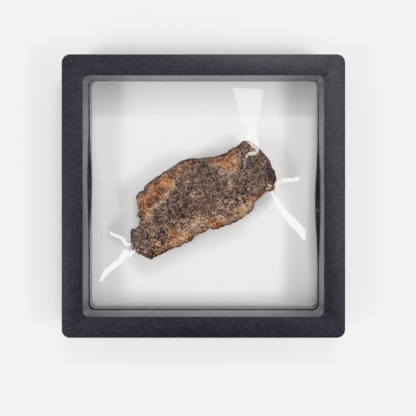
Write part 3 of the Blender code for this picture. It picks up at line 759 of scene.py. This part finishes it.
class METEOR_OT_film_rings(bpy.types.Operator):
    """Model the two thin rings that the films are stretched over"""
    bl_idname = "meteor.film_rings"
    bl_label = "Film Rings"

    def execute(self, context):
        frame_group, film_group = settings()[:2]
        inner = HALF_SIDE - frame_group.bar_width - frame_group.draft - film_group.ring_reveal
        finish = ring_plastic()
        for name, facing in (("front_film_ring", 1), ("back_film_ring", -1)):
            ring = add_block(name + "_die_cut", RING_HIGH.x, RING_LOW.z, RING_HIGH.z,
                             RING_CORNER_RADIUS, steps=6)
            hole = add_block("hole_cutter", inner, RING_LOW.z - MM, RING_HIGH.z + MM,
                             frame_group.window_radius, steps=8)
            select_edges(hole, lambda a, b: abs(a.y - b.y) > inner)
            bpy.ops.mesh.subdivide(number_cuts=RING_SIDE_CUTS)
            bpy.ops.object.mode_set(mode="OBJECT")
            for vertex in hole.data.vertices:
                side = 1 if vertex.co.x > 0 else -1
                depth, centre, reach = RING_BOWS_MM[side]
                share = (vertex.co.y / MM - centre) / reach
                if abs(vertex.co.x) > inner - RING_SIDE_SLACK and abs(share) < 1:
                    vertex.co.x -= side * depth * MM * math.cos(share * math.pi / 2) ** 2
            cut(ring, hole)
            ring.data.materials.append(finish)
            if facing < 0:
                mirrored_down(ring)
            shade(ring, CREASE_DEG)
            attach(ring, ROOT)
            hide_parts(name)
        return {"FINISHED"}


def in_metres(points):
    """Millimetre points as an array in metres."""
    return np.array(points, dtype=float) * MM


def path_distance(points, path, closed):
    """Distance of each point from a path of straight pieces."""
    starts = path
    ends = np.roll(path, -1, axis=0)
    if not closed:
        starts = starts[:-1]
        ends = ends[:-1]
    nearest = np.full(len(points), 1.0)
    for start, end in zip(starts, ends):
        run = end - start
        share = np.clip((points - start) @ run / max(run @ run, 1e-18), 0.0, 1.0)
        gap = points - start - share[:, None] * run
        nearest = np.minimum(nearest, np.hypot(gap[:, 0], gap[:, 1]))
    return nearest


def inside_path(points, path):
    """Which points lie inside a closed path."""
    found = np.zeros(len(points), dtype=bool)
    for start, end in zip(path, np.roll(path, -1, axis=0)):
        if start[1] == end[1]:
            continue
        crosses = (start[1] > points[:, 1]) != (end[1] > points[:, 1])
        reach = start[0] + (points[:, 1] - start[1]) * (end[0] - start[0]) / (end[1] - start[1])
        found ^= crosses & (points[:, 0] < reach)
    return found


def smooth_step(values):
    """Ease from 0 to 1."""
    shares = np.clip(values, 0.0, 1.0)
    return shares * shares * (3 - 2 * shares)


def rough(points, scale, seed):
    """Even noise from -1 to 1 at each flat point, with lumps about one scale wide."""
    return np.array([noise.noise(Vector((x / scale, y / scale, seed))) for x, y in points])


def rough_solid(points, scale, seed):
    """The same noise through space."""
    return np.array([noise.noise(Vector((x / scale + seed, y / scale, z / scale))) for x, y, z in points])


def hump(points, x, y, reach):
    """A round hump one high about a place, its place and reach in millimetres."""
    far = np.hypot(points[:, 0] - x * MM, points[:, 1] - y * MM) / (reach * MM)
    return np.exp(-far ** 2)


def slab_height(points, edge, side):
    """Height of one broad side of the slab over its middle plane."""
    share = np.clip(edge / EDGE_ROLL, 0.0, 1.0)
    height = HALF_THICKNESS * (RIM_SHARE + (1 - RIM_SHARE) * (1 - (1 - share) ** 2))
    for x, y, reach, rise in side["lumps"]:
        height += rise * MM * hump(points, x, y, reach)
    for depth, path in side["recesses"]:
        border = in_metres(path)
        gap = path_distance(points, border, closed=True)
        gap = np.where(inside_path(points, border), gap, 0.0)
        height -= depth * MM * smooth_step(gap / RECESS_STEP)
    for width, depth, path in side["grooves"]:
        gap = path_distance(points, in_metres(path), closed=False)
        height -= depth * MM * np.exp(-(gap / (width * MM)) ** 2)
    for x, y, reach, depth in side["pits"]:
        height -= depth * MM * hump(points, x, y, reach)
    for scale, rise in SWELLS_MM:
        height += rise * MM * rough(points, scale * MM, side["seed"] + scale)
    for scale, rise in CRAGS_MM:
        height -= rise * MM * np.abs(rough(points, scale * MM, side["seed"] - scale))
    return height


def mesh_points(thing):
    """An object's points as an array."""
    found = np.empty(len(thing.data.vertices) * 3)
    thing.data.vertices.foreach_get("co", found)
    return found.reshape(-1, 3)


def set_points(thing, points):
    """Move an object's points to an array of places."""
    thing.data.vertices.foreach_set("co", np.ascontiguousarray(points, dtype=np.float32).ravel())
    thing.data.update()


def mesh_normals(thing):
    """An object's point normals as an array."""
    found = np.empty(len(thing.data.vertices) * 3, dtype=np.float32)
    thing.data.vertices.foreach_get("normal", found)
    return found.reshape(-1, 3).astype(float)


def paint(thing, name, values):
    """Store one number for each point as an attribute that a material reads."""
    layer = thing.data.attributes.new(name, "FLOAT", "POINT")
    layer.data.foreach_set("value", np.ascontiguousarray(values, dtype=np.float32))


def slab_blank(voxel):
    """The slab's outline drawn up to an even blank, meshed in small cells."""
    outline = in_metres(STONE_OUTLINE_MM)
    deselect()
    bpy.ops.mesh.primitive_circle_add(vertices=len(outline), fill_type="NGON",
                                      location=(0, 0, MID_PLANE - HALF_THICKNESS))
    blank = bpy.context.object
    settle(blank)
    for vertex, (x, y) in zip(blank.data.vertices, outline[::-1]):
        vertex.co.x = x
        vertex.co.y = y
    bpy.ops.object.mode_set(mode="EDIT")
    bpy.ops.mesh.select_all(action="SELECT")
    bpy.ops.mesh.extrude_region_move(
        TRANSFORM_OT_translate={"value": (0, 0, 2 * HALF_THICKNESS)})
    bpy.ops.mesh.select_all(action="SELECT")
    bpy.ops.mesh.normals_make_consistent(inside=False)
    bpy.ops.object.mode_set(mode="OBJECT")
    remesh = blank.modifiers.new("cells", "REMESH")
    remesh.mode = "VOXEL"
    remesh.voxel_size = voxel
    apply_modifier(blank, "cells")
    return blank


def shape_slab(slab):
    """Press the blank to the slab's two broad sides, chip its rim and roughen it all over."""
    outline = in_metres(STONE_OUTLINE_MM)
    points = mesh_points(slab)
    flat = points[:, :2]
    edge = path_distance(flat, outline, closed=True)
    level = np.clip((points[:, 2] - MID_PLANE) / HALF_THICKNESS, -1.0, 1.0)
    sides = (FRONT_SIDE, BACK_SIDE)
    height = np.where(level > 0, *(slab_height(flat, edge, side) for side in sides))
    shaped = points.copy()
    lean = flat @ np.array(LEAN)
    shaped[:, 2] = MID_PLANE + level * height + lean
    chips = (RIM_INSET + CHIP_INSET * np.abs(rough(flat, CHIP_SCALE, side["seed"] + CHIP_SEED))
             for side in sides)
    chip = np.where(level > 0, *chips) * np.abs(level) ** 2
    inwards = nearest_on(flat, in_metres(CENTRE_LINE_MM)) - flat
    inwards /= np.maximum(np.hypot(inwards[:, 0], inwards[:, 1]), 1e-9)[:, None]
    fade = np.clip(1 - edge / CHIP_REACH, 0.0, 1.0)
    shaped[:, :2] += inwards * (chip * fade)[:, None]
    set_points(slab, shaped)
    ragged = 1 + RAGGED_EXTRA * np.clip(1 - edge / RAGGED_REACH, 0.0, 1.0)
    for scale, rise in GRAINS_MM:
        grain = rough_solid(shaped, scale * MM, GRAIN_SEED + scale)
        shaped = shaped + mesh_normals(slab) * (grain * ragged * rise * MM)[:, None]
        set_points(slab, shaped)


def nearest_on(points, path):
    """The nearest place on a path to each point."""
    best = np.full(len(points), 1.0)
    found = np.zeros_like(points)
    for start, end in zip(path[:-1], path[1:]):
        run = end - start
        share = np.clip((points - start) @ run / (run @ run), 0.0, 1.0)
        place = start + share[:, None] * run
        gap = np.hypot(*(points - place).T)
        closer = gap < best
        best = np.where(closer, gap, best)
        found[closer] = place[closer]
    return found


def signed_gap(points, border):
    """Distance of each point inside a closed border, negative outside it."""
    gap = path_distance(points, border, closed=True)
    return np.where(inside_path(points, border), gap, -gap)


def paint_slab(slab):
    """Paint where rust, ochre, mauve and dark crust lie, and a near-black band along the outline."""
    outline = in_metres(STONE_OUTLINE_MM)
    points = mesh_points(slab)
    flat = points[:, :2]
    front = smooth_step((points[:, 2] - MID_PLANE) / MM)
    edge = path_distance(flat, outline, closed=True)
    wander = sum(reach * MM * rough_solid(points, scale * MM, seed) for scale, reach, seed in WANDERS_MM)
    tone = {name: np.zeros(len(points)) for name in ("rust", "ochre", "mauve", "pale", "dark")}
    for _, path in BACK_SIDE["recesses"]:
        signed = signed_gap(flat, in_metres(path)) + wander
        tone["rust"] = np.maximum(tone["rust"], (1 - front) * smooth_step(signed / BACK_RUST_SOFTNESS))
        line = np.exp(-((signed - BACK_OCHRE_INSET) / BACK_OCHRE_WIDTH) ** 2)
        tone["ochre"] = np.maximum(tone["ochre"], BACK_OCHRE_STRENGTH * (1 - front) * line)
    for name, strength, softness, path in FRONT_TONES_MM:
        signed = signed_gap(flat, in_metres(path)) + wander
        share = smooth_step(0.5 + signed / (softness * MM))
        tone[name] = np.maximum(tone[name], strength * front * share)
    for name, strength, width, path in FRONT_VEINS_MM:
        gap = path_distance(flat, in_metres(path), closed=False) + VEIN_WANDER * wander
        tone[name] = np.maximum(tone[name], strength * front * np.exp(-(gap / (width * MM)) ** 2))
    breaks = BREAK_LEVEL + BREAK_DEPTH * rough_solid(points, BREAK_SCALE, BREAK_SEED)
    tone["ochre"] = np.clip(tone["ochre"] * breaks, 0.0, 1.0)
    # A thin band along the outline is painted near-black.
    rim = 1 - smooth_step((edge - DARK_RIM_START) / DARK_RIM_WIDTH)
    tip = smooth_step((flat[:, 0] - GLOSSY_TIP_X) / GLOSSY_TIP_WIDTH) * front
    for name, values in tone.items():
        paint(slab, name, values)
    paint(slab, "black", np.maximum(BLACK_IN_DARK * tone["dark"] ** 3, BLACK_ON_RIM * rim))
    paint(slab, "gloss_roughness", CRUST_ROUGHNESS + RUST_ROUGHER * tone["rust"] - TIP_SMOOTHER * tip)


class METEOR_OT_meteorite(bpy.types.Operator):
    """Model the rough iron slab"""
    bl_idname = "meteor.meteorite"
    bl_label = "Meteorite"

    def execute(self, context):
        slab = slab_blank(settings()[2].voxel)
        slab.name = "meteorite_slab"
        shape_slab(slab)
        paint_slab(slab)
        slab.data.materials.append(meteorite_material())
        bpy.ops.object.shade_smooth()
        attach(slab, ROOT)
        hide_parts("meteorite")
        return {"FINISHED"}


# How a film is drawn tight: grids from coarse to fine, then a light smoothing
FILM_MARGIN = 0.1 * MM
FLOOR_PASSES = 3
GRID_STEPS = (8, 4, 2, 1)
TIGHTENING_PASSES = 900
SMOOTHING_PASSES = 8


def mean_around(grid):
    """Mean of the four neighbours of each inner point of a grid."""
    return (grid[:-2, 1:-1] + grid[2:, 1:-1] + grid[1:-1, :-2] + grid[1:-1, 2:]) / 4


def film_floor(count, half, facing):
    """Least height of a film over the parting plane on an even grid, to clear the stone."""
    border = abs(FILM_LOW.z - MID_PLANE)
    floor = np.full((count, count), border)
    slab = mesh_points(bpy.data.objects["meteorite_slab"])
    need = facing * (slab[:, 2] - MID_PLANE) + FILM_MARGIN
    cell = 2 * half / (count - 1)
    column = np.floor((slab[:, 0] + half) / cell).astype(int)
    row = np.floor((slab[:, 1] + half) / cell).astype(int)
    for shift_x in (-1, 0, 1, 2):
        for shift_y in (-1, 0, 1, 2):
            np.maximum.at(floor, (column + shift_x, row + shift_y), need)
    for _ in range(FLOOR_PASSES):
        floor[1:-1, 1:-1] = mean_around(floor)
    return floor


def draw_tight(floor, half, inner, lift, lean):
    """Heights of a film drawn tight over the floor and blown up by air, its border on the ring."""
    count = len(floor)
    lines = np.linspace(-half, half, count)
    air = lift + (lean[0] * lines[:, None] + lean[1] * lines[None, :]) / inner
    held = (np.abs(lines)[:, None] >= inner) | (np.abs(lines)[None, :] >= inner)
    border = floor[0, 0]
    height = None
    for step in GRID_STEPS:
        coarse = coarsened(floor, step)
        clamp = held[::step, ::step]
        rise = air[::step, ::step][1:-1, 1:-1] * (2 * half / (count - 1) * step) ** 2 / 4
        if height is None:
            height = coarse.copy()
        else:
            height = refined(height, coarse.shape[0])
        for _ in range(TIGHTENING_PASSES):
            height = np.maximum(height, coarse)
            height[clamp] = border
            height[1:-1, 1:-1] = np.maximum(mean_around(height) + rise, coarse[1:-1, 1:-1])
            height[clamp] = border
    for _ in range(SMOOTHING_PASSES):
        height[1:-1, 1:-1] = (height[1:-1, 1:-1] + mean_around(height)) / 2
        height[held] = border
    return height


def coarsened(floor, step):
    """The floor at every step-th point, each the highest of the points round it."""
    if step == 1:
        return floor
    count = len(floor)
    found = np.zeros(((count - 1) // step + 1,) * 2)
    for row in range(found.shape[0]):
        for column in range(found.shape[1]):
            low_row = max(row * step - step // 2, 0)
            low_column = max(column * step - step // 2, 0)
            block = floor[low_row:row * step + step // 2 + 1, low_column:column * step + step // 2 + 1]
            found[row, column] = block.max()
    return found


def refined(height, count):
    """A height grid spread over more points."""
    places = np.linspace(0, len(height) - 1, count)
    rows = np.array([np.interp(places, range(len(height)), line) for line in height])
    return np.array([np.interp(places, range(len(height)), line) for line in rows.T]).T


class METEOR_OT_clear_films(bpy.types.Operator):
    """Stretch the two clear films over the stone"""
    bl_idname = "meteor.clear_films"
    bl_label = "Clear Films"

    def execute(self, context):
        frame_group, film_group = settings()[:2]
        half = FILM_HIGH.x
        inner = HALF_SIDE - frame_group.bar_width - frame_group.draft - film_group.ring_reveal
        cells = film_group.cells // GRID_STEPS[0] * GRID_STEPS[0]
        finish = clear_film_material()
        for name, facing in (("front_film", 1), ("back_film", -1)):
            deselect()
            bpy.ops.mesh.primitive_grid_add(x_subdivisions=cells, y_subdivisions=cells, size=2 * half)
            film = bpy.context.object
            film.name = name + "_stretched"
            floor = film_floor(cells + 1, half, facing)
            lean = [facing * share for share in film_group.air_lean]
            height = draw_tight(floor, half, inner, film_group.air_lift, lean)
            points = mesh_points(film)
            cell = 2 * half / cells
            column = np.rint((points[:, 0] + half) / cell).astype(int)
            row = np.rint((points[:, 1] + half) / cell).astype(int)
            points[:, 2] = MID_PLANE + height[column, row]
            set_points(film, points)
            wall = film.modifiers.new("film_thickness", "SOLIDIFY")
            wall.thickness = film_group.thickness
            wall.offset = 1.0
            apply_modifier(film, "film_thickness")
            if facing < 0:
                mirrored_down(film)
            make_active(film)
            bpy.ops.object.shade_smooth()
            film.data.materials.append(finish)
            film.visible_shadow = False
            film.visible_diffuse = False
            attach(film, ROOT)
            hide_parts(name)
        return {"FINISHED"}


# Camera over the frame, looking straight down: the photograph's distance, framing and field
CAMERA_PLACE_MM = (4.1, 12.8, 282.0)
VIEW_WIDTH_MM = 161.3
VIEW_DISTANCE_MM = 262.0
SENSOR_MM = 36.0
SHIFT_X = -0.0144
SHIFT_Y = -0.108
NEAR_CLIP = 0.01

# The sheet of paper, a hair below the frame
PAPER_SIZE = 2.0
PAPER_DROP = 0.05 * MM

# Way towards the viewer, whose body and camera dim the light
DIM_WAY = (0.0, -0.5, 0.866)

# Cosines of the angles from that way where the dimming starts and where it is full
DIM_START = 0.79
DIM_FULL = 0.95

# Soft lights as (name, place, width, length, power share), each facing straight down
PANELS_MM = [
    ("left_panel", (-300.0, -130.0, 380.0), 100.0, 140.0, 0.8),
    ("right_panel", (340.0, -120.0, 430.0), 100.0, 160.0, 1.4),
    ("top_panel", (36.0, 540.0, 720.0), 250.0, 70.0, 2.3),
]

# Small bright openings that the films mirror, as (name, x, y, width, length, turn, brightness)
GLINT_HEIGHT_MM = 400.0
GLINTS_MM = [
    ("right_low_glint", 234.0, -47.0, 17.0, 85.0, 62.6, 20.0),
    ("right_high_glint", 252.0, 47.0, 8.0, 36.0, -22.8, 20.0),
    ("right_bend_glint", 268.5, 51.5, 8.0, 40.0, -67.0, 20.0),
    ("right_outer_glint", 305.0, 30.0, 9.0, 74.0, 36.9, 20.0),
    ("left_bend_glint", -246.0, -85.0, 9.0, 84.0, 0.0, 20.0),
    ("left_high_glint", -266.0, -45.0, 48.0, 7.0, 0.0, 20.0),
    ("left_low_glint", -260.0, -143.0, 56.0, 22.0, 13.4, 20.0),
    ("top_glint", 93.0, 228.0, 30.0, 112.0, -31.0, 18.0),
    ("top_glint_low", 86.0, 191.0, 14.0, 60.0, -30.0, 16.0),
    ("haze_fan", 51.0, 130.0, 34.0, 60.0, -21.0, 6.0),
    ("haze_low", 66.0, 168.0, 22.0, 30.0, -15.0, 6.0),
]


def room_light(group):
    """White light all round: dim where the viewer stands, brightest low down beyond the lower edge."""
    world = bpy.data.worlds.new("room_light")
    world.use_nodes = True
    tree = world.node_tree
    way = add_node(tree, "ShaderNodeTexCoord").outputs["Generated"]
    facing = add_node(tree, "ShaderNodeVectorMath", [(way, 0)], operation="DOT_PRODUCT")
    facing.inputs[1].default_value = DIM_WAY
    level = add_node(tree, "ShaderNodeMapRange", [(facing.outputs["Value"], "Value")],
                     From_Min=DIM_START, From_Max=DIM_FULL, To_Min=group.sky_level,
                     To_Max=group.sky_level * group.dim_share)
    axes = add_node(tree, "ShaderNodeSeparateXYZ", [(way, 0)])
    side = add_node(tree, "ShaderNodeMapRange", [(axes.outputs["Y"], "Value")],
                    From_Min=-1.0, From_Max=1.0, To_Min=group.near_share, To_Max=2 - group.near_share)
    strength = add_node(tree, "ShaderNodeMath", [(level.outputs["Result"], 0), (side.outputs["Result"], 1)],
                        operation="MULTIPLY")
    tree.links.new(strength.outputs[0], tree.nodes["Background"].inputs["Strength"])
    tree.nodes["Background"].inputs["Color"].default_value = rgba((1.0, 1.0, 1.0))
    return world


def add_lamp(name, place, width, length, turn_deg):
    """A flat lamp that faces straight down."""
    bpy.ops.object.light_add(type="AREA", location=Vector(place) * MM,
                             rotation=(0, 0, math.radians(turn_deg)))
    lamp = bpy.context.object
    lamp.name = name
    lamp.data.shape = "RECTANGLE"
    lamp.data.size = width * MM
    lamp.data.size_y = length * MM
    lamp.visible_transmission = False
    return lamp


class METEOR_OT_stage(bpy.types.Operator):
    """Lay the paper and set the lights and the camera"""
    bl_idname = "meteor.stage"
    bl_label = "Stage"

    def execute(self, context):
        group = settings()[3]
        scene = context.scene
        deselect()
        bpy.ops.mesh.primitive_plane_add(size=PAPER_SIZE, location=(0, 0, BACK_LOW.z - PAPER_DROP))
        paper = context.object
        paper.name = "paper"
        settle(paper)
        paper.data.materials.append(paper_material())
        for name, place, width, length, share in PANELS_MM:
            lamp = add_lamp(name, place, width, length, 0.0)
            lamp.data.energy = group.panel_power * share
            lamp.visible_glossy = False
        for name, x, y, width, length, turn, brightness in GLINTS_MM:
            lamp = add_lamp(name, (x, y, GLINT_HEIGHT_MM), width, length, turn)
            lamp.data.energy = brightness * math.pi * width * length * MM * MM
        scene.world = room_light(group)
        scene.view_settings.view_transform = "Khronos PBR Neutral"
        bpy.ops.object.camera_add(location=Vector(CAMERA_PLACE_MM) * MM, rotation=(0, 0, 0))
        camera = context.object
        camera.name = "camera"
        camera.data.sensor_width = SENSOR_MM
        camera.data.lens = SENSOR_MM * VIEW_DISTANCE_MM / VIEW_WIDTH_MM
        camera.data.shift_x = SHIFT_X
        camera.data.shift_y = SHIFT_Y
        camera.data.clip_start = NEAR_CLIP
        scene.camera = camera
        return {"FINISHED"}


class METEOR_PT_panel(bpy.types.Panel):
    """Buttons for the framed meteorite"""
    bl_label = "Framed Meteorite"
    bl_idname = "METEOR_PT_panel"
    bl_space_type = "VIEW_3D"
    bl_region_type = "UI"
    bl_category = "Meteorite"

    def draw(self, context):
        for group in settings():
            box = self.layout.box()
            for name in group.__annotations__:
                box.prop(group, name)
        for operator in OPERATORS:
            self.layout.operator(operator.bl_idname)


GROUPS = {
    "meteor_frame": FrameHalfSettings,
    "meteor_film": FilmSettings,
    "meteor_stone": StoneSettings,
    "meteor_stage": StageSettings,
}
OPERATORS = (
    METEOR_OT_stage,
    METEOR_OT_frame_halves,
    METEOR_OT_film_rings,
    METEOR_OT_meteorite,
    METEOR_OT_clear_films,
)


def register():
    for name, group in GROUPS.items():
        bpy.utils.register_class(group)
        setattr(bpy.types.Scene, name, PointerProperty(type=group))
    for operator in OPERATORS:
        bpy.utils.register_class(operator)
    bpy.utils.register_class(METEOR_PT_panel)


def unregister():
    bpy.utils.unregister_class(METEOR_PT_panel)
    for operator in reversed(OPERATORS):
        bpy.utils.unregister_class(operator)
    for name, group in GROUPS.items():
        delattr(bpy.types.Scene, name)
        bpy.utils.unregister_class(group)


def main():
    register()
    bpy.ops.meteor.stage()
    bpy.ops.meteor.frame_halves()
    bpy.ops.meteor.film_rings()
    bpy.ops.meteor.meteorite()
    bpy.ops.meteor.clear_films()


if __name__ == "__main__":
    main()
